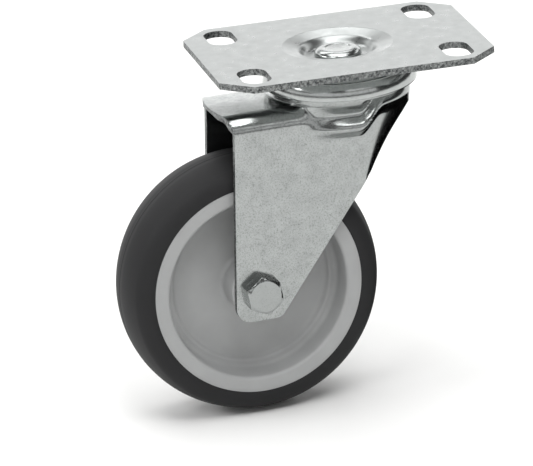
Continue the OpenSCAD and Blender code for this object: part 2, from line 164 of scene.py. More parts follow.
class WheelSizes(bpy.types.PropertyGroup):
    """Wheel core and tyre"""
    radius: length("Wheel radius", 50, "Radius of the wheel over its tread")
    rim_width: length("Rim width", 31.4, "Width of the wheel over its rim faces")
    hub_width: length("Hub width", 33.4, "Width of the hub")
    hub_radius: length("Hub radius", 10.7, "Radius of the hub outside the web")
    hub_fillet: length("Hub fillet", 1.9, "Radius between the hub and the web")
    bore_radius: length("Bore radius", 6.06, "Radius of the bore on the axle tube")
    web: length("Web face", 3.9, "Distance of each face of the web from the wheel's middle")
    step_radius: length("Step radius", 31.1, "Radius of the web's raised edge")
    shelf: length("Shelf height", 1.7, "Height of the shelf round the web, over the web's face")
    rim_inner: length("Rim inner radius", 35.3, "Inner radius of the flat rim face")
    rim_outer: length("Rim outer radius", 40.35, "Outer radius of the flat rim face")
    seat_depth: length("Seat depth", 2, "Depth of the seat that holds the tread")
    flange: length("Flange width", 2.2, "Width of the flange on each side of that seat")
    crown_radius: length("Tread crown", 32, "Radius of the tread's crown")
    shoulder: length("Tread shoulder", 3.5, "Radius of the tread's shoulders")
    parting: length("Parting line", 0.12, "Height of the parting line round the tread")


class AxleSizes(bpy.types.PropertyGroup):
    """Axle bolt and nut"""
    bolt_radius: length("Bolt radius", 4, "Radius of the bolt's shank")
    bolt_length: length("Bolt length", 50, "Length of the bolt under its head")
    pitch: length("Thread pitch", 1.25, "Pitch of the thread")
    threaded: length("Threaded length", 22, "Length of the thread from the bolt's end")
    flats: length("Across flats", 13, "Width across the flats of head and nut")
    head_height: length("Head height", 5.3, "Height of the bolt's head")
    face_radius: length("Head face radius", 5.9, "Radius of the flat face inside the head's chamfer")
    turn: FloatProperty(name="Head turn", default=radians(38), subtype="ANGLE",
                        description="Angle at which the head's corners stand")
    nut_height: length("Nut height", 8, "Height of the nut with its collar")
    nut_hexagon: length("Nut hexagon", 6, "Height of the nut's hexagon")


class Finishes(bpy.types.PropertyGroup):
    """Colours of the finishes"""
    zinc: colour("Zinc", "#A6A9A8", "Zinc plating on the pressings")
    zinc_dark: colour("Zinc, darker", "#626564", "Dark speckle and mottle in the plating")
    sheared: colour("Sheared edge", "#3C3E3F", "Cut edges of the sheets")
    core: colour("Wheel core", "#999A9A", "Plastic of the wheel core")
    tread: colour("Tread", "#222223", "Soft tread")
    nylon: colour("Nylon ring", "#3A5FA0", "Locking ring of the nut")
    floor: colour("Floor", "#ECECEB", "Studio floor")


class CameraPlace(bpy.types.PropertyGroup):
    """Camera at the photograph's viewing angle"""
    azimuth: FloatProperty(name="Azimuth", default=radians(77.356), subtype="ANGLE",
                           description="Camera's turn round the castor; 0 looks along +Y")
    elevation: FloatProperty(name="Elevation", default=radians(18.753), subtype="ANGLE",
                             description="Camera's height over the horizon, as an angle")
    roll: FloatProperty(name="Roll", default=radians(-3.965), subtype="ANGLE",
                        description="Camera's turn about its own line of sight")
    distance: length("Distance", 2005.9, "Distance of the camera from the plate's middle")
    across: length("Across", 26.459, "How far the camera's axis passes the plate's middle, sideways")
    below: length("Below", 70.87, "How far the camera's axis passes under the plate's middle")
    lens: FloatProperty(name="Lens", default=362.6, unit="CAMERA",
                        description="Focal length on a 36 mm sensor")


# Modelling by operators

def select_only(*objects):
    bpy.ops.object.select_all(action="DESELECT")
    for item in objects:
        item.select_set(True)
    bpy.context.view_layer.objects.active = objects[-1]


def add(name, operator, **settings):
    """Adds a primitive with nothing else selected, and names it."""
    bpy.ops.object.select_all(action="DESELECT")
    operator(**settings)
    piece = bpy.context.object
    piece.name = piece.data.name = name
    return piece


def edit(piece, *steps, choose=None):
    """Runs edit-mode steps on the vertices that choose picks by their place, or on all of them."""
    select_only(piece)
    bpy.ops.object.mode_set(mode="EDIT")
    bpy.ops.mesh.select_mode(type="VERT")
    bpy.ops.mesh.select_all(action="SELECT" if choose is None else "DESELECT")
    if choose is not None:
        mesh = bmesh.from_edit_mesh(piece.data)
        for vertex in mesh.verts:
            vertex.select = bool(choose(vertex.co))
        mesh.select_flush(True)
        bmesh.update_edit_mesh(piece.data)
    for step in steps:
        step()
    bpy.ops.object.mode_set(mode="OBJECT")


def tidy_mesh():
    """Edit-mode step: welds what lies together, drops what is loose and turns faces outwards."""
    bpy.ops.mesh.select_all(action="SELECT")
    bpy.ops.mesh.remove_doubles(threshold=0.002 * MM)
    bpy.ops.mesh.delete_loose(use_faces=False)
    bpy.ops.mesh.select_all(action="SELECT")
    bpy.ops.mesh.normals_make_consistent(inside=False)


def wire(name, points, fill_type="NOTHING"):
    """A closed wire through points, with a face in it where the fill type asks for one."""
    piece = add(name, bpy.ops.mesh.primitive_circle_add, vertices=len(points), fill_type=fill_type)
    for vertex, point in zip(piece.data.vertices, points):
        vertex.co = point
    return piece


def revolve(name, outline, steps=144):
    """A closed outline of (radius, height) points, spun a full turn about Z."""
    piece = wire(name, [(radius, 0, height) for radius, height in outline])
    edit(piece, lambda: bpy.ops.mesh.spin(steps=steps, angle=2 * pi, center=(0, 0, 0), axis=(0, 0, 1)),
         tidy_mesh)
    return piece


def raised(height):
    """The place at a height on Z."""
    return Matrix.Translation((0, 0, height))


def place(piece, matrix):
    """Moves a piece to its place and puts that place in its mesh."""
    piece.matrix_world = matrix
    select_only(piece)
    bpy.ops.object.transform_apply(location=True, rotation=True, scale=True)


def finish_with(piece, name, kind, **settings):
    """Adds a modifier and applies it."""
    modifier = piece.modifiers.new(name, kind)
    for key, value in settings.items():
        setattr(modifier, key, value)
    select_only(piece)
    bpy.ops.object.modifier_apply(modifier=modifier.name)


def cut(piece, tool, operation="DIFFERENCE"):
    """Cuts a piece with a tool; the cut faces keep the tool's material."""
    finish_with(piece, operation.lower(), "BOOLEAN", object=tool, operation=operation, solver="EXACT",
                material_mode="TRANSFER")
    bpy.data.objects.remove(tool)


def cut_groove(piece, row_radius, row_depth, radius, around, across):
    """Cuts the round groove that a row of balls runs in."""
    tool = add("groove_tool", bpy.ops.mesh.primitive_torus_add, major_radius=row_radius, minor_radius=radius,
               major_segments=around, minor_segments=across)
    place(tool, raised(-row_depth))
    cut(piece, tool)


def drill(piece, radius, depth, where=Matrix.Identity(4)):
    """Drills a round hole along Z, or along the line that a matrix turns Z to."""
    tool = add("drill", bpy.ops.mesh.primitive_cylinder_add, vertices=64, radius=radius, depth=depth)
    place(tool, where)
    cut(piece, tool)


def soften(piece, width, segments=3, angle=40):
    """Rounds the sharp edges and shades the rest smooth, with flats kept flat."""
    finish_with(piece, "edges", "BEVEL", width=width, segments=segments, limit_method="ANGLE",
                angle_limit=radians(angle), miter_outer="MITER_ARC", use_clamp_overlap=True, material=0)
    shade(piece)
    finish_with(piece, "normals", "WEIGHTED_NORMAL", keep_sharp=True, weight=60)


def shade(piece, angle=32):
    """Shades smooth, with the edges sharper than the angle kept."""
    select_only(piece)
    bpy.ops.object.shade_smooth_by_angle(angle=radians(angle))


def dress(piece, body, finish, replaced):
    """Gives a finished piece its finish and body, and hides the CAD node that it stands for."""
    if piece.data.materials:
        piece.data.materials[0] = finish
    else:
        piece.data.materials.append(finish)
    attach(piece, body)
    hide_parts(replaced)


# Outlines, in metres

def arc(centre, radius, start, end, steps):
    """Points on an arc about a centre, from one angle to another in degrees."""
    angles = [radians(start + (end - start) * i / steps) for i in range(steps + 1)]
    return [(centre[0] + radius * cos(w), centre[1] + radius * sin(w)) for w in angles]


def curve(a, b, c, d, steps, first=0):
    """Points on a cubic curve with two end points and two handles."""
    points = []
    for i in range(first, steps + 1):
        t = i / steps
        s = 1 - t
        points.append(tuple(s ** 3 * a[k] + 3 * s * s * t * b[k] + 3 * s * t * t * c[k] + t ** 3 * d[k]
                            for k in (0, 1)))
    return points


def sheet_outline(path, thickness):
    """Closed outline of a sheet: a path and the same path moved sideways by the thickness."""
    back = []
    for i, (x, y) in enumerate(path):
        before, after = path[max(i - 1, 0)], path[min(i + 1, len(path) - 1)]
        along = Vector((after[0] - before[0], after[1] - before[1])).normalized()
        back.append((x + thickness * along.y, y - thickness * along.x))
    return path + back[::-1]


def rounded(corners, steps=6):
    """Outline with rounded corners: each corner is (x, y, radius)."""
    points = []
    for i, (x, y, radius) in enumerate(corners):
        here = Vector((x, y))
        before, after = Vector(corners[i - 1][:2]), Vector(corners[(i + 1) % len(corners)][:2])
        u, v = (before - here).normalized(), (after - here).normalized()
        if radius == 0:
            points.append((x, y))
            continue
        half = acos(max(-1, min(1, u.dot(v)))) / 2
        centre = here + (u + v).normalized() * radius / sin(half)
        a, b = here + u * radius / tan(half) - centre, here + v * radius / tan(half) - centre
        start = degrees(atan2(a.y, a.x))
        turn = (degrees(atan2(b.y, b.x)) - start + 540) % 360 - 180
        points += arc(centre, radius, start, start + turn, steps)
    return points


# Materials

# How far the plastics' clouding goes from their colour, as a share of it
CLOUDING = 0.06


def node(tree, kind, inputs=(), **settings):
    """Adds a shader node with its settings. An input is a value, or the output or node that feeds it."""
    made = tree.nodes.new("ShaderNode" + kind)
    for key, value in settings.items():
        setattr(made, key, value)
    for key, value in dict(inputs).items():
        if isinstance(value, bpy.types.Node):
            value = next(output for output in value.outputs if output.enabled)
        if isinstance(value, bpy.types.NodeSocket):
            tree.links.new(value, made.inputs[key])
        else:
            made.inputs[key].default_value = value
    return made


def new_material(name):
    """An empty material, with the place on the piece as Object coordinates."""
    material = bpy.data.materials.new(name)
    material.use_nodes = True
    tree = material.node_tree
    tree.nodes.clear()
    place_on = node(tree, "TexCoord").outputs["Object"]
    return material, tree, place_on


def rgba(three):
    return (*three, 1)


def zinc_plating(name, roughness=0.3, mottle=0.2, speckle=0.4, bump=0.15, level=1.0):
    """Bright zinc plating on pressed steel: a pale metal, satin where the acid bath and the
    press roughened it, with a faint mottle a few millimetres wide and fine darker specks."""
    finishes = bpy.context.scene.castor_finishes
    material, tree, place_on = new_material(name)
    cloud = node(tree, "TexNoise", {"Vector": place_on, "Scale": 1 / (5 * MM), "Detail": 6.0,
                                    "Roughness": 0.6})
    specks = node(tree, "TexNoise", {"Vector": place_on, "Scale": 1 / (0.6 * MM), "Detail": 4.0,
                                     "Roughness": 0.75})
    dark = node(tree, "MapRange", {"Value": specks, "From Min": 0.5, "From Max": 0.75, "To Max": speckle})
    tone = node(tree, "MapRange", {"Value": cloud, "From Min": 0.4, "From Max": 0.75, "To Max": mottle})
    share = node(tree, "Math", {0: dark, 1: tone}, operation="ADD", use_clamp=True)
    bright = [c * level for c in finishes.zinc]
    metal = node(tree, "Mix", {"Factor": share, "A": rgba(bright), "B": rgba(finishes.zinc_dark)},
                 data_type="RGBA")
    gloss = node(tree, "MapRange", {"Value": cloud, "From Min": 0.3, "From Max": 0.7,
                                    "To Min": roughness * 0.85, "To Max": roughness * 1.2})
    relief = node(tree, "Bump", {"Height": specks, "Strength": bump, "Distance": 0.1 * MM})
    shader = node(tree, "BsdfPrincipled", {"Base Color": metal, "Metallic": 1.0, "Roughness": gloss,
                                           "Normal": relief})
    node(tree, "OutputMaterial", {"Surface": shader})
    return material


def sheared_edge():
    """Cut edge of a zinc-plated sheet: dull, grainy and darker than the faces beside it."""
    finishes = bpy.context.scene.castor_finishes
    material, tree, place_on = new_material("zinc_plated_sheared_edge")
    grain = node(tree, "TexNoise", {"Vector": place_on, "Scale": 1 / (0.9 * MM), "Detail": 5.0,
                                    "Roughness": 0.75})
    share = node(tree, "MapRange", {"Value": grain, "From Min": 0.4, "From Max": 0.65})
    metal = node(tree, "Mix", {"Factor": share, "A": rgba(finishes.sheared), "B": rgba(finishes.zinc)},
                 data_type="RGBA")
    relief = node(tree, "Bump", {"Height": grain, "Strength": 0.6, "Distance": 0.2 * MM})
    shader = node(tree, "BsdfPrincipled", {"Base Color": metal, "Metallic": 1.0, "Roughness": 0.5,
                                           "Normal": relief})
    node(tree, "OutputMaterial", {"Surface": shader})
    return material


def turned_steel(name, hex_code, roughness):
    """Plain machined or drawn steel: even grey metal, a little uneven in gloss from the tool."""
    material, tree, place_on = new_material(name)
    marks = node(tree, "TexNoise", {"Vector": place_on, "Scale": 1 / (0.4 * MM), "Detail": 2.0})
    gloss = node(tree, "MapRange", {"Value": marks, "To Min": roughness * 0.7, "To Max": roughness * 1.3})
    shader = node(tree, "BsdfPrincipled", {"Base Color": rgba(linear(hex_code)), "Metallic": 1.0,
                                           "Roughness": gloss})
    node(tree, "OutputMaterial", {"Surface": shader})
    return material


def moulded_plastic(name, tint, grain_mm, roughness, relief_strength=0.15, sheen_level=0.5):
    """Moulded polymer: matte, even colour, with the fine grain of the mould and faint clouding."""
    material, tree, place_on = new_material(name)
    cloud = node(tree, "TexNoise", {"Vector": place_on, "Scale": 1 / (12 * MM), "Detail": 3.0})
    lighter = [min(1, c * (1 + CLOUDING * 3)) for c in tint]
    darker = [c * (1 - CLOUDING) for c in tint]
    body = node(tree, "Mix", {"Factor": cloud, "A": rgba(darker), "B": rgba(lighter)}, data_type="RGBA")
    grain = node(tree, "TexNoise", {"Vector": place_on, "Scale": 1 / (grain_mm * MM), "Detail": 3.0})
    relief = node(tree, "Bump", {"Height": grain, "Strength": relief_strength, "Distance": 0.1 * MM})
    shader = node(tree, "BsdfPrincipled", {"Base Color": body, "Roughness": roughness, "IOR": 1.5,
                                           "Specular IOR Level": sheen_level, "Normal": relief})
    node(tree, "OutputMaterial", {"Surface": shader})
    return material


def floor_paint():
    """Matte studio floor: pale and even, with a grain too fine to draw the eye."""
    material, tree, place_on = new_material("matte_studio_floor")
    grain = node(tree, "TexNoise", {"Vector": place_on, "Scale": 1 / (40 * MM), "Detail": 2.0})
    gloss = node(tree, "MapRange", {"Value": grain, "To Min": 0.85, "To Max": 0.95})
    shader = node(tree, "BsdfPrincipled", {"Base Color": rgba(bpy.context.scene.castor_finishes.floor),
                                           "Roughness": gloss, "Specular IOR Level": 0.1})
    node(tree, "OutputMaterial", {"Surface": shader})
    return material


def black_paint():
    """Matte black card: it gives back next to no light, so metal that mirrors it looks black."""
    material, tree, _ = new_material("matte_black_card")
    shader = node(tree, "BsdfPrincipled", {"Base Color": rgba(linear("#060606")), "Roughness": 1.0,
                                           "Specular IOR Level": 0.0})
    node(tree, "OutputMaterial", {"Surface": shader})
    return material


# Fork's form: rings of points, one for each level, from the crown down

# How tightly the neck between the legs joins the bowl
BLEND_POWER = 8
# Front end of each ring, in front of the mouth and the legs
FORK_FRONT = -64 * MM
# Way behind the swivel axis over which the shoulder climbs
CLIMB = 10 * MM
# Steps of a ring: along a side, round the bowl's front, round its rear, and half of its front
SIDE_STEPS = 14
BOWL_STEPS = 30
REAR_STEPS = 96
FRONT_STEPS = 8


def smooth(share):
    """From 0 to 1 with soft ends."""
    share = min(1, max(0, share))
    return share * share * (3 - 2 * share)


def fork_half(s):
    """Half width of the fork over its legs."""
    return s.gap / 2 + s.sheet


def belly(s, z):
    """Half width of the fork over the swivel axis at a depth: the bowl's wall draws in to a
    waist, flares to a rounded shoulder and runs in to the legs."""
    wall_top = s.crown_depth + 1.5 * s.crown_round
    flare_top = s.waist_depth - 1 * MM
    waist = s.wall_waist * smooth((-z - wall_top) / (s.waist_depth - wall_top))
    flare = s.shoulder_flare * smooth((-z - flare_top) / (s.belly_top - flare_top))
    share = smooth((z + s.belly_end) / (s.belly_end - s.belly_top))
    return fork_half(s) + (s.bowl_radius - waist + flare - fork_half(s)) * share


def side_x(s, y, neck, half):
    """Half width before the swivel axis: the neck blends smoothly into the bowl."""
    bulge = max(0, half ** BLEND_POWER - neck ** BLEND_POWER) ** (1 / BLEND_POWER)
    share = bulge * sqrt(max(0, 1 - (y / s.bowl_radius) ** 2))
    return (neck ** BLEND_POWER + share ** BLEND_POWER) ** (1 / BLEND_POWER)


def fork_level(s, z, neck, reach, inner=0, spread=1):
    """One closed ring of the outside, anticlockwise from its right front corner. The neck is its
    half width over the legs, the reach is that of its rear, and spread draws it in to inner."""
    bend_end = -s.roof_depth - s.bend_radius
    least = 0 if z <= bend_end else neck
    half = max(belly(s, z), least)
    power = 2 + min(1, max(0, (bend_end - z) / (s.leg_back_depth + bend_end))) ** 2
    side_y = [FORK_FRONT + (-s.bowl_radius - FORK_FRONT) * i / SIDE_STEPS for i in range(SIDE_STEPS)]
    side_y += [-s.bowl_radius * cos(radians(90 * i / BOWL_STEPS)) for i in range(BOWL_STEPS + 1)]
    side = [(side_x(s, y, neck, half), y) for y in side_y]
    rear = []
    for i in range(1, REAR_STEPS):
        c, d = cos(pi * i / REAR_STEPS), sin(pi * i / REAR_STEPS)
        y = reach * d ** (2 / power)
        rise = s.shoulder_rise * smooth(y / CLIMB)
        half = max(belly(s, z - rise), least)
        rear.append((half * (1 if c > 0 else -1) * abs(c) ** (2 / power), y))
    ring = side + rear + [(-x, y) for x, y in reversed(side)]
    ring += [(side[0][0] * (i / FRONT_STEPS - 1), FORK_FRONT) for i in range(1, 2 * FRONT_STEPS)]
    points = []
    for x, y in ring:
        far = hypot(x, y)
        share = (inner + spread * (far - inner)) / far if far > inner else 1
        points.append((x * share, y * share, z))
    return points


def fork_rings(s):
    """All rings of the outside: crown, bowl, roof, bends, apron and legs."""
    roof, half = -s.roof_depth, fork_half(s)
    lowest_neck = half - s.bend_radius
    bend_end = roof - s.bend_radius
    head = bpy.context.scene.castor_head
    row, deep = head.row_radius, -head.row_depth
    shoulder = (s.bowl_radius - s.crown_round, -s.crown_depth - s.crown_round)
    crown = [(s.crown_hole, -s.crown_depth), (s.crown_hole + 2.5 * MM, -s.crown_depth)]
    crown += arc((row, deep), head.groove_radius, -150, -30, 14)
    crown += arc(shoulder, s.crown_round, 88, 0, 12)
    crown += [(s.bowl_radius, roof + s.bowl_fillet + 0.4 * MM)]
    around = fork_level(s, roof, lowest_neck, s.bowl_radius)
    rings = [[(x * r / hypot(x, y), y * r / hypot(x, y), z) for x, y, _ in around] for r, z in crown]
    for i in range(9):
        w = radians(90 * i / 8)
        inner = s.bowl_radius + s.bowl_fillet * (1 - cos(w))
        rings.append(fork_level(s, roof + s.bowl_fillet * (1 - sin(w)), lowest_neck, s.bowl_radius, inner, 0))
    edge = s.bowl_radius + s.bowl_fillet
    rings += [fork_level(s, roof, lowest_neck, s.bowl_radius, edge, share) for share in (0.08, 0.2, 0.4, 0.7)]
    for i in range(18):
        w = radians(90 * i / 18)
        rings.append(fork_level(s, roof - s.bend_radius * (1 - cos(w)), half - s.bend_radius * (1 - sin(w)),
                                s.bowl_radius))
    apron = curve((s.bowl_radius, bend_end), (s.bowl_radius - 4 * MM, bend_end - 5.5 * MM),
                  (s.apron_reach + 11.3 * MM, bend_end - 8.8 * MM), (s.apron_reach, -s.apron_depth), 44)
    rings += [fork_level(s, z, half, reach) for reach, z in apron]
    end = -(AXLE_DEPTH + s.below_axle + 4 * MM)
    rings += [fork_level(s, -s.apron_depth + (end + s.apron_depth) * i / 6, half, s.apron_reach)
              for i in range(1, 7)]
    return rings


def loft(name, rings):
    """A grid bent round so that its rows pass through rings of points, welded at its seam."""
    around = len(rings[0])
    piece = add(name, bpy.ops.mesh.primitive_grid_add, x_subdivisions=around, y_subdivisions=len(rings) - 1)
    for vertex in piece.data.vertices:
        level, step = divmod(vertex.index, around + 1)
        vertex.co = rings[level][step % around]
    edit(piece, tidy_mesh)
    return piece


def prism(name, outline, start, end):
    """An outline of (y, z) points extruded along X."""
    piece = wire(name, [(start, y, z) for y, z in outline], "NGON")
    way = {"value": (end - start, 0, 0)}
    edit(piece, lambda: bpy.ops.mesh.extrude_region_move(TRANSFORM_OT_translate=way), tidy_mesh)
    return piece


def blank_outline(s):
    """Side outline of the pressed blank, which cuts the legs and the apron's lower edge."""
    bend_end = -s.roof_depth - s.bend_radius
    mouth = -sqrt(s.mouth_radius ** 2 - fork_half(s) ** 2) + 0.1 * MM
    end = -(AXLE_DEPTH + s.below_axle)
    slope = (s.apron_depth - s.leg_back_depth) / (s.apron_reach - s.leg_back + 1.5 * MM)
    past_rear = 30 * MM
    past_mouth = -s.mouth_radius - 2 * MM
    return rounded([
        (mouth, bend_end + 0.8 * MM, 0), (mouth, bend_end - 0.4 * MM, 0),
        (-TRAIL - s.before_axle, end, s.front_round), (-TRAIL + s.behind_axle, end, s.rear_round),
        (s.leg_back, -s.leg_back_depth, 3 * MM),
        (s.leg_back + past_rear, -s.leg_back_depth - past_rear * slope, 0), (s.leg_back + past_rear, 0, 0),
        (past_mouth, 0, 0), (past_mouth, 1 * MM - s.roof_depth, 0)], 10)


# Operators, one for each piece

# Room round the kingpin in the sheets that it goes through
PIN_ROOM = 0.05 * MM


class CASTOR_OT_plate(bpy.types.Operator):
    """Models the fixing plate: sheet with cut corners, four slots and a drawn dish"""
    bl_idname = "castor.plate"
    bl_label = "Fixing plate"

    def execute(self, context):
        s = context.scene.castor_plate
        pin_hole = context.scene.castor_head.pin_radius + PIN_ROOM
        edge = sheared_edge()
        plate = add("fixing_plate", bpy.ops.mesh.primitive_cube_add, size=1)
        plate.data.materials.append(zinc_plating("satin_zinc_plate", mottle=0.08, speckle=0.15, bump=0.0,
                                                 level=0.92))
        place(plate, raised(-s.sheet / 2) @ Matrix.Diagonal((s.width, s.depth, s.sheet, 1)))
        self.cut_corners(plate, s)
        for x in (-1, 1):
            for y in (-1, 1):
                cut(plate, self.slot_cutter(s, x * s.slot_gap_x / 2, y * s.slot_gap_y / 2, edge))
        top = self.dish(s) + [(pin_hole, -s.dish_depth)]
        under = sheet_outline(top, -s.sheet)[len(top):]
        root = s.dish_radius + 1.2 * MM
        boss = revolve("dish_boss", [(0, -s.sheet / 2), (0, -s.dish_depth - s.sheet)] + under[:-1]
                       + [(root, -s.sheet - 0.02 * MM), (root, -s.sheet / 2)])
        cut(plate, boss, "UNION")
        brim, over, through = s.dish_radius + 0.3 * MM, 3 * MM, -20 * MM
        cutter = revolve("dish_cutter", [(0, over), (brim, over), (brim, 0.04 * MM)] + top
                         + [(pin_hole, through), (0, through)])
        cut(plate, cutter)
        self.mark_edges(plate, edge, s)
        soften(plate, s.edge_radius)
        dress(plate, "plate", plate.data.materials[0], "top_plate")
        return {"FINISHED"}

    def dish(self, s):
        """Profile from the dish's rim to its floor: a shallow cone and a rounded lip into the well.
        The cone's narrow ends keep its middle shaded as a plain cone."""
        slope = s.cone_depth / (s.dish_radius - s.well_radius)
        lip = s.well_radius + s.well_lip
        ends = 0.4 * MM
        cone = [(s.dish_radius, 0), (s.dish_radius - ends, -ends * slope),
                (lip + ends, -(s.dish_radius - lip - ends) * slope)]
        return cone + curve(
            (lip, -(s.dish_radius - lip) * slope), (lip - 1.9 * MM, -s.cone_depth),
            (s.well_radius - 0.6 * MM, -s.dish_depth), (s.well_radius - 2.9 * MM, -s.dish_depth), 18)

    def cut_corners(self, plate, s):
        """Bevels the block's four upright edges."""
        select_only(plate)
        bpy.ops.object.mode_set(mode="EDIT")
        bpy.ops.mesh.select_mode(type="EDGE")
        bpy.ops.mesh.select_all(action="DESELECT")
        mesh = bmesh.from_edit_mesh(plate.data)
        for line in mesh.edges:
            line.select = abs(line.verts[0].co.z - line.verts[1].co.z) > s.sheet / 2
        bmesh.update_edit_mesh(plate.data)
        bpy.ops.mesh.bevel(offset=s.corner, offset_type="OFFSET", segments=1, affect="EDGES")
        bpy.ops.object.mode_set(mode="OBJECT")

    def slot_cutter(self, s, x, y, edge):
        """A round bar stretched to the slot's length."""
        cutter = add("slot_cutter", bpy.ops.mesh.primitive_cylinder_add, vertices=64, radius=s.slot_width / 2,
                     depth=4 * s.sheet)
        cutter.data.materials.append(edge)
        stretch = (s.slot_length - s.slot_width) / 2
        for side in (-1, 1):
            edit(cutter, lambda: bpy.ops.transform.translate(value=(side * stretch, 0, 0)),
                 choose=lambda co: co.x * side > 0.01 * MM)
        place(cutter, Matrix.Translation((x, y, 0)))
        return cutter

    def mark_edges(self, plate, edge, s):
        """Gives the sheet's outer cut faces the sheared finish."""
        slots = plate.data.materials
        number = slots.find(edge.name)
        for face in plate.data.polygons:
            middle = face.center
            outside = abs(middle.x) + abs(middle.y) > min(s.width, s.depth) / 2 - 1 * MM
            if abs(face.normal.z) < 0.2 and outside:
                face.material_index = number


class CASTOR_OT_race_cup(bpy.types.Operator):
    """Models the race cup: floor, arch over the balls, flank and rim"""
    bl_idname = "castor.race_cup"
    bl_label = "Race cup"

    def execute(self, context):
        s = context.scene.castor_head
        plate = context.scene.castor_plate
        floor = -(plate.dish_depth + plate.sheet)
        centre = (s.row_radius, -s.row_depth)
        radius = s.groove_radius + s.cup_sheet
        low = 180 - degrees(asin((floor + s.row_depth) / radius))
        flank_angle = 50
        arch = arc(centre, radius, low, flank_angle, 20)
        end, lean = arch[-1], radians(flank_angle)
        rim = (s.cup_radius, -s.cup_depth)
        away = 4.2 * MM
        flank = curve(end, (end[0] + away * sin(lean), end[1] - away * cos(lean)),
                      (rim[0], rim[1] + away), rim, 18, 1)
        path = [(s.pin_radius + PIN_ROOM, floor)] + arch + flank
        cup = revolve("race_cup_pressing", sheet_outline(path, s.cup_sheet), 192)
        cut_groove(cup, s.row_radius, s.row_depth, s.groove_radius, 192, 40)
        soften(cup, 0.4 * MM, angle=50)
        dress(cup, "plate", zinc_plating("drawn_zinc_cup", 0.15, level=1.15), "race_cup")
        return {"FINISHED"}


class CASTOR_OT_kingpin(bpy.types.Operator):
    """Models the kingpin: upset head in the dish, shank and foot"""
    bl_idname = "castor.kingpin"
    bl_label = "Kingpin"

    def execute(self, context):
        s = context.scene.castor_head
        floor = -context.scene.castor_plate.dish_depth
        top = floor + s.head_height
        foot, edge = -s.foot_top, 1.6 * MM
        outline = [(0, foot - s.foot_height), (s.foot_radius - 2.5 * MM, foot - s.foot_height)]
        outline += arc((s.foot_radius - edge, foot - edge), edge, -60, 0, 6)
        outline += [(s.foot_radius, foot), (s.pin_radius, foot)]
        outline += [(s.pin_radius, floor), (s.head_radius, floor)]
        outline += curve((s.head_radius, floor + 0.9 * MM), (s.head_radius, floor + 2 * MM),
                         (s.head_flat + 1.2 * MM, top), (s.head_flat, top), 12)
        recess = top - s.recess_depth
        outline += curve((s.recess_radius + 0.5 * MM, top), (s.recess_radius + 0.2 * MM, top),
                         (s.recess_radius + 0.1 * MM, recess), (s.recess_radius - 0.3 * MM, recess), 6)
        outline += [(0, recess)]
        pin = revolve("upset_kingpin", outline)
        shade(pin)
        dress(pin, "plate", zinc_plating("hammered_zinc_kingpin", 0.22, speckle=0.3),
              "kingpin")
        return {"FINISHED"}


class CASTOR_OT_fork(bpy.types.Operator):
    """Models the fork: one pressed sheet from the crown's hole to the legs' ends"""
    bl_idname = "castor.fork"
    bl_label = "Fork"

    def execute(self, context):
        s = context.scene.castor_fork
        head = context.scene.castor_head
        edge = bpy.data.materials["zinc_plated_sheared_edge"]
        bend_end = -s.roof_depth - s.bend_radius
        shell = loft("pressed_fork", fork_rings(s))
        shell.data.materials.append(zinc_plating("satin_zinc_fork", 0.17, mottle=0.25, speckle=0.9))
        finish_with(shell, "wall", "SOLIDIFY", thickness=s.sheet, offset=-1, use_even_offset=True,
                    use_quality_normals=True)
        blank = prism("blank_tool", blank_outline(s), -40 * MM, 40 * MM)
        blank.data.materials.append(edge)
        cut(shell, blank, "INTERSECT")
        near, far = s.mouth_radius, s.mouth_radius + 40 * MM
        mouth = revolve("mouth_tool", [(near, bend_end), (far, bend_end), (far, 0), (near, 0)], 360)
        mouth.data.materials.append(edge)
        cut(shell, mouth)
        cut_groove(shell, head.lower_row_radius, head.lower_row_depth, head.groove_radius, 144, 32)
        drill(shell, s.hole_radius, 80 * MM, IN_FORK.inverted() @ ON_AXLE)
        edit(shell, tidy_mesh)
        soften(shell, 0.25 * MM, segments=2, angle=55)
        place(shell, IN_FORK)
        dress(shell, "fork", shell.data.materials[0], "fork")
        return {"FINISHED"}


def hexagon(name, s, height, turn, face_radius):
    """A hexagonal prism on Z = 0 whose far corners are turned off by a 30 degree chamfer."""
    corner = s.flats / 2 / cos(pi / 6)
    piece = add(name, bpy.ops.mesh.primitive_cylinder_add, vertices=6, radius=corner, depth=height)
    place(piece, Matrix.Rotation(turn, 4, "Z") @ raised(height / 2))
    outside, below = corner + 1 * MM, -1 * MM
    drop = (outside - face_radius) * tan(radians(30))
    turner = revolve("chamfer_tool", [(0, below), (outside, below), (outside, height - drop),
                                      (face_radius, height), (0, height)], 96)
    cut(piece, turner, "INTERSECT")
    return piece


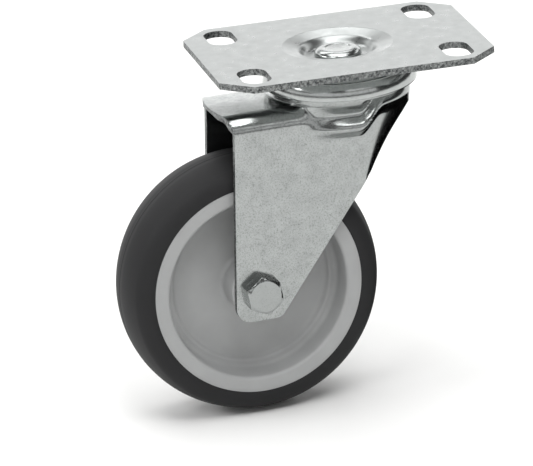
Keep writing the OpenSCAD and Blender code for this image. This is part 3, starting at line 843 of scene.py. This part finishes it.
class CASTOR_OT_bolt(bpy.types.Operator):
    """Models the axle bolt: chamfered hexagon head, shank and cut thread"""
    bl_idname = "castor.bolt"
    bl_label = "Axle bolt"

    def execute(self, context):
        s = context.scene.castor_axle
        bolt = hexagon("hexagon_axle_bolt", s, s.head_height, s.turn, s.face_radius)
        root = s.bolt_radius - 0.61 * s.pitch
        start = -s.bolt_length + s.threaded
        shank = revolve("bolt_shank", [
            (0, 0.5 * MM), (s.bolt_radius, 0.5 * MM), (s.bolt_radius, start), (root, start - 0.5 * MM),
            (root, -s.bolt_length + 0.4 * MM), (root - 0.5 * MM, -s.bolt_length), (0, -s.bolt_length)], 96)
        cut(bolt, shank, "UNION")
        soften(bolt, 0.12 * MM, segments=2, angle=25)
        thread = self.thread(s, root, start)
        select_only(thread, bolt)
        bpy.ops.object.join()
        place(bolt, ON_AXLE @ raised(fork_half(context.scene.castor_fork)))
        finish = zinc_plating("bright_zinc_bolt", 0.13, mottle=0.1, speckle=0.3, level=0.9)
        dress(bolt, "fork", finish, "axle_bolt")
        return {"FINISHED"}

    def thread(self, s, root, start):
        """One ridge of the thread, wound round the shank and closed at both ends."""
        under = root - 0.1 * MM
        low = -s.bolt_length + 0.5 * MM
        ridge = [(under, low), (s.bolt_radius, low + 0.42 * s.pitch), (s.bolt_radius, low + 0.54 * s.pitch),
                 (under, low + 0.96 * s.pitch)]
        piece = wire("bolt_thread", [(radius, 0, height) for radius, height in ridge])
        turns = int((start - low) / s.pitch)
        finish_with(piece, "wind", "SCREW", screw_offset=s.pitch, iterations=turns, steps=40, render_steps=40,
                    use_merge_vertices=False)
        edit(piece, self.close_ends)
        shade(piece, 20)
        return piece

    def close_ends(self):
        """Edit-mode step: fills the open ends and turns the faces outwards."""
        bpy.ops.mesh.select_all(action="DESELECT")
        bpy.ops.mesh.select_non_manifold()
        bpy.ops.mesh.edge_face_add()
        bpy.ops.mesh.select_all(action="SELECT")
        bpy.ops.mesh.normals_make_consistent(inside=False)


class CASTOR_OT_nut(bpy.types.Operator):
    """Models the self-locking nut: hexagon inwards, collar outwards over its ring"""
    bl_idname = "castor.nut"
    bl_label = "Axle nut"

    def execute(self, context):
        s = context.scene.castor_axle
        nut = hexagon("self_locking_nut", s, s.nut_hexagon, 0, s.flats * 0.47)
        hole, collar, top = s.bolt_radius + 0.02 * MM, s.flats * 0.46, s.nut_height
        lip = collar - 0.8 * MM
        ring_floor, ring_top = top - 2.5 * MM, top - 0.6 * MM
        shell = revolve("nut_collar", rounded([
            (hole, 1 * MM, 0), (collar, 1 * MM, 0), (collar, top - 0.2 * MM, 1.2 * MM),
            (lip - 1 * MM, top, 0.2 * MM), (lip - 1 * MM, ring_top, 0), (hole, ring_top, 0)]), 96)
        cut(nut, shell, "UNION")
        drill(nut, hole, 40 * MM)
        inner = s.bolt_radius - 1 * MM
        cut(nut, revolve("insert_room", [(inner, ring_floor), (lip, ring_floor), (lip, ring_top),
                                         (inner, ring_top)], 96))
        soften(nut, 0.12 * MM, segments=2, angle=25)
        far_side = raised(-fork_half(context.scene.castor_fork))
        place(nut, ON_AXLE @ far_side @ Matrix.Rotation(pi, 4, "X"))
        dress(nut, "fork", bpy.data.materials["bright_zinc_bolt"], "axle_nut")
        return {"FINISHED"}


class CASTOR_OT_wheel(bpy.types.Operator):
    """Models the wheel: moulded core with hub, web, shelf and rim, and the soft tyre"""
    bl_idname = "castor.wheel"
    bl_label = "Wheel"

    def execute(self, context):
        s = context.scene.castor_wheel
        tints = context.scene.castor_finishes
        rim, seat = s.rim_width / 2, s.rim_outer - s.seat_depth
        flange = rim - s.flange
        notch = s.seat_depth * 0.4
        face = self.core_face(s, rim) + [(s.rim_outer, flange), (seat, flange - notch)]
        core = revolve("moulded_wheel_core", face + [(r, -x) for r, x in reversed(face)], 240)
        shade(core, 28)
        place(core, ON_AXLE)
        finish = moulded_plastic("matte_moulded_polypropylene", tints.core, 0.5, 0.55)
        dress(core, "wheel", finish, "wheel_core")
        half = self.tread_half(s, rim)
        outline = [(r, -x) for r, x in reversed(half[1:])] + half
        outline += [(s.rim_outer, flange), (seat, flange - notch), (seat, notch - flange),
                    (s.rim_outer, -flange)]
        tyre = revolve("soft_tyre", outline, 300)
        shade(tyre, 40)
        place(tyre, ON_AXLE)
        finish = moulded_plastic("soft_thermoplastic_rubber", tints.tread, 0.4, 0.6, 0.2, sheen_level=0.2)
        dress(tyre, "wheel", finish, "tyre")
        return {"FINISHED"}

    def core_face(self, s, rim):
        """One face of the core from the bore to the rim's edge, as (radius, distance from the middle)."""
        hub, fillet = s.hub_width / 2, s.hub_fillet
        step, shelf, wall = s.step_radius, s.web + s.shelf, s.rim_inner - 1 * MM
        edge, groove = 0.5 * MM, 0.1 * MM
        points = [(s.bore_radius, hub)] + arc((s.hub_radius - edge, hub - edge), edge, 90, 0, 5)
        points += arc((s.hub_radius + fillet, s.web + fillet), fillet, 180, 270, 10)
        points += curve((step - 2.4 * MM, s.web), (step - 0.4 * MM, s.web), (step - 1 * MM, shelf),
                        (step + 0.8 * MM, shelf), 18)
        points += curve((step + 1.2 * MM, shelf), (wall, shelf), (wall, shelf + 2 * MM),
                        (wall + 0.2 * MM, rim - 1.8 * MM), 16)
        points += curve((wall + 0.24 * MM, rim - 1.5 * MM), (wall + 0.3 * MM, rim - 0.4 * MM),
                        (wall + 0.9 * MM, rim), (wall + 2 * MM, rim), 10)
        line = s.rim_outer - 0.8 * MM
        return points + [(line - 0.15 * MM, rim), (line, rim - groove), (s.rim_outer, rim - groove)]

    def tread_half(self, s, rim):
        """Half of the tyre's outside, from the parting line to the rim face."""
        centre = s.radius - s.crown_radius
        side = rim + 0.3 * MM
        reach = acos((s.radius - 2.6 * MM - centre) / s.crown_radius)
        start = (centre + s.crown_radius * cos(reach), s.crown_radius * sin(reach))
        line = [(s.radius, 0), (s.radius, 0.1 * MM), (s.radius - s.parting, 0.35 * MM)]
        crown = [p for p in arc((centre, 0), s.crown_radius, 0, degrees(reach), 24) if p[1] > 0.5 * MM]
        crown = [(min(r, s.radius - s.parting), x) for r, x in crown]
        round_off = curve(start, (start[0] - 0.9 * MM, start[1] + 2 * MM),
                          (start[0] - s.shoulder - 0.4 * MM, side), (s.rim_outer + 1.2 * MM, side), 16, 1)
        return line + crown + round_off + [(s.rim_outer, rim)]


class CASTOR_OT_inner_parts(bpy.types.Operator):
    """Finishes the pieces that stay as the frame has them: balls, lower race, tube, nylon ring"""
    bl_idname = "castor.inner_parts"
    bl_label = "Inner parts"

    def execute(self, context):
        # Mirror-bright balls, a dull grey race, a satin tube and a blue ring with a waxy gloss
        finishes = {
            "upper_balls": turned_steel("polished_bearing_steel", "#D9DADA", 0.08),
            "lower_race": turned_steel("hardened_turned_steel", "#8C8F91", 0.35),
            "axle_tube": turned_steel("drawn_tube_steel", "#9A9D9E", 0.4),
            "nut_insert": moulded_plastic("nylon_ring", context.scene.castor_finishes.nylon, 0.5, 0.4),
        }
        finishes["lower_balls"] = finishes["upper_balls"]
        for name, finish in finishes.items():
            mesh = frame["nodes"][name].data
            mesh.materials.clear()
            mesh.materials.append(finish)
            shade(frame["nodes"][name])
        return {"FINISHED"}


# Soft lights round the castor, which the metal mirrors. Each has its name, the azimuth and
# elevation of its middle, its width and height in degrees, and its strength
SOFTBOXES = (
    ("back_wall", -96, 12, 72, 24, 1.7),
    ("front_wall", 96, 13, 72, 14, 0.8),
    ("side_wall", 24, 15, 72, 18, 0.9),
    ("left_softbox", 0, 30, 24, 12, 8.5),
    ("back_softbox", -90, 43, 60, 14, 4.0),
    ("near_softbox", 45, 43, 30, 14, 6.5),
    ("overhead_softbox", 105, 56, 55, 16, 6.5),
    ("front_softbox", 108, 30, 48, 12, 1.0),
    ("rear_left_softbox", -36, 30, 48, 12, 1.8),
    ("right_softbox", -156, 30, 48, 12, 1.9),
    ("ceiling", 0, 77, 400, 26, 3.2),
)
# Strength of the room's light between them, and half the width of their soft edges in degrees
ROOM_LIGHT = 0.06
SOFT_EDGE = 2
# The black card: its azimuth in degrees, its distance from the swivel axis and its radius
CARD_AZIMUTH = 200
CARD_AWAY = 0.2
CARD_RADIUS = 0.17
# The floor goes past all that the camera sees
FLOOR_RADIUS = 9
# The camera: its sensor's width in mm, for which the lens is given, and how far it sees
SENSOR_WIDTH = 36
VIEW_REACH = 50


class CASTOR_OT_stage(bpy.types.Operator):
    """Sets the studio: pale floor, black card, soft lights and the camera"""
    bl_idname = "castor.stage"
    bl_label = "Studio"

    def execute(self, context):
        low = CAD_BOX[0].z
        floor = add("studio_floor", bpy.ops.mesh.primitive_circle_add, vertices=96, radius=FLOOR_RADIUS,
                    fill_type="NGON", location=(0, 0, low))
        bpy.ops.object.transform_apply()
        floor.data.materials.append(floor_paint())
        self.black_card(low)
        self.surroundings(context.scene)
        self.camera(context)
        context.scene.view_settings.view_transform = "Standard"
        return {"FINISHED"}

    def black_card(self, low):
        """A black card on the floor behind the castor: only the metal sees it, as a dark reflection."""
        turn = radians(CARD_AZIMUTH)
        middle = (CARD_AWAY * sin(turn), -CARD_AWAY * cos(turn), low + 0.5 * MM)
        card = add("black_card", bpy.ops.mesh.primitive_circle_add, vertices=48, radius=CARD_RADIUS,
                   fill_type="NGON", location=middle)
        bpy.ops.object.transform_apply()
        card.data.materials.append(black_paint())
        card.visible_camera = card.visible_diffuse = card.visible_shadow = False

    def surroundings(self, scene):
        """A dim room with the soft lights in it, as the metal mirrors them."""
        world = bpy.data.worlds.new("studio")
        scene.world = world
        world.use_nodes = True
        tree = world.node_tree
        tree.nodes.clear()
        way = node(tree, "SeparateXYZ", {"Vector": node(tree, "TexCoord").outputs["Generated"]}).outputs
        forward = node(tree, "Math", {0: way["Y"], 1: -1.0}, operation="MULTIPLY")
        azimuth = node(tree, "Math", {0: way["X"], 1: forward}, operation="ARCTAN2")
        elevation = node(tree, "Math", {0: way["Z"]}, operation="ARCSINE")
        total = ROOM_LIGHT
        for _, middle, height, width, tall, strength in SOFTBOXES:
            off = node(tree, "Math", {0: azimuth, 1: radians(middle)}, operation="SUBTRACT")
            off = node(tree, "Math", {0: off, 1: pi, 2: -pi}, operation="WRAP")
            above = node(tree, "Math", {0: elevation, 1: radians(height)}, operation="SUBTRACT")
            across = self.fade(tree, off, width, 1)
            lit = self.fade(tree, above, tall, strength)
            total = node(tree, "Math", {0: across, 1: lit, 2: total}, operation="MULTIPLY_ADD")
        glow = node(tree, "Background", {"Color": (1, 1, 1, 1), "Strength": total})
        node(tree, "OutputWorld", {"Surface": glow})

    def fade(self, tree, angle, span, strength):
        """Full strength over the span, fading to nothing at its edge."""
        size = node(tree, "Math", {0: angle}, operation="ABSOLUTE")
        inner, outer = radians(span / 2 - SOFT_EDGE), radians(span / 2 + SOFT_EDGE)
        return node(tree, "MapRange", {"Value": size, "From Min": inner, "From Max": outer,
                                       "To Min": strength, "To Max": 0.0}, interpolation_type="SMOOTHSTEP")

    def camera(self, context):
        s = context.scene.castor_camera
        data = bpy.data.cameras.new("camera")
        data.lens = s.lens
        data.sensor_width = SENSOR_WIDTH
        data.clip_end = VIEW_REACH
        eye = bpy.data.objects.new("camera", data)
        context.scene.collection.objects.link(eye)
        level = cos(s.elevation)
        back = Vector((sin(s.azimuth) * level, -cos(s.azimuth) * level, sin(s.elevation)))
        right = Vector((cos(s.azimuth), sin(s.azimuth), 0))
        up = back.cross(right)
        x = right * cos(s.roll) + up * sin(s.roll)
        y = up * cos(s.roll) - right * sin(s.roll)
        stand = Matrix.Translation(back * s.distance - x * s.across - y * s.below)
        eye.matrix_world = stand @ Matrix((x, y, back)).transposed().to_4x4()
        context.scene.camera = eye


class CASTOR_PT_panel(bpy.types.Panel):
    """Lists the castor's pieces, sizes and finishes"""
    bl_idname = "CASTOR_PT_panel"
    bl_label = "Swivel castor"
    bl_space_type = "VIEW_3D"
    bl_region_type = "UI"
    bl_category = "Castor"

    def draw(self, context):
        for operator in OPERATORS:
            self.layout.operator(operator.bl_idname)
        for name, group in GROUPS.items():
            box = self.layout.box()
            box.label(text=group.__doc__)
            for key in group.__annotations__:
                box.prop(getattr(context.scene, name), key)


GROUPS = {
    "castor_plate": PlateSizes,
    "castor_head": HeadSizes,
    "castor_fork": ForkSizes,
    "castor_wheel": WheelSizes,
    "castor_axle": AxleSizes,
    "castor_finishes": Finishes,
    "castor_camera": CameraPlace,
}
OPERATORS = [CASTOR_OT_plate, CASTOR_OT_race_cup, CASTOR_OT_kingpin, CASTOR_OT_fork, CASTOR_OT_bolt,
             CASTOR_OT_nut, CASTOR_OT_wheel, CASTOR_OT_inner_parts, CASTOR_OT_stage]


def register():
    for item in [*GROUPS.values(), *OPERATORS, CASTOR_PT_panel]:
        bpy.utils.register_class(item)
    for name, group in GROUPS.items():
        setattr(bpy.types.Scene, name, PointerProperty(type=group))


def unregister():
    for name in GROUPS:
        delattr(bpy.types.Scene, name)
    for item in reversed([*GROUPS.values(), *OPERATORS, CASTOR_PT_panel]):
        bpy.utils.unregister_class(item)


def main():
    register()
    for operator in OPERATORS:
        section, name = operator.bl_idname.split(".")
        getattr(getattr(bpy.ops, section), name)()


if __name__ == "__main__":
    main()
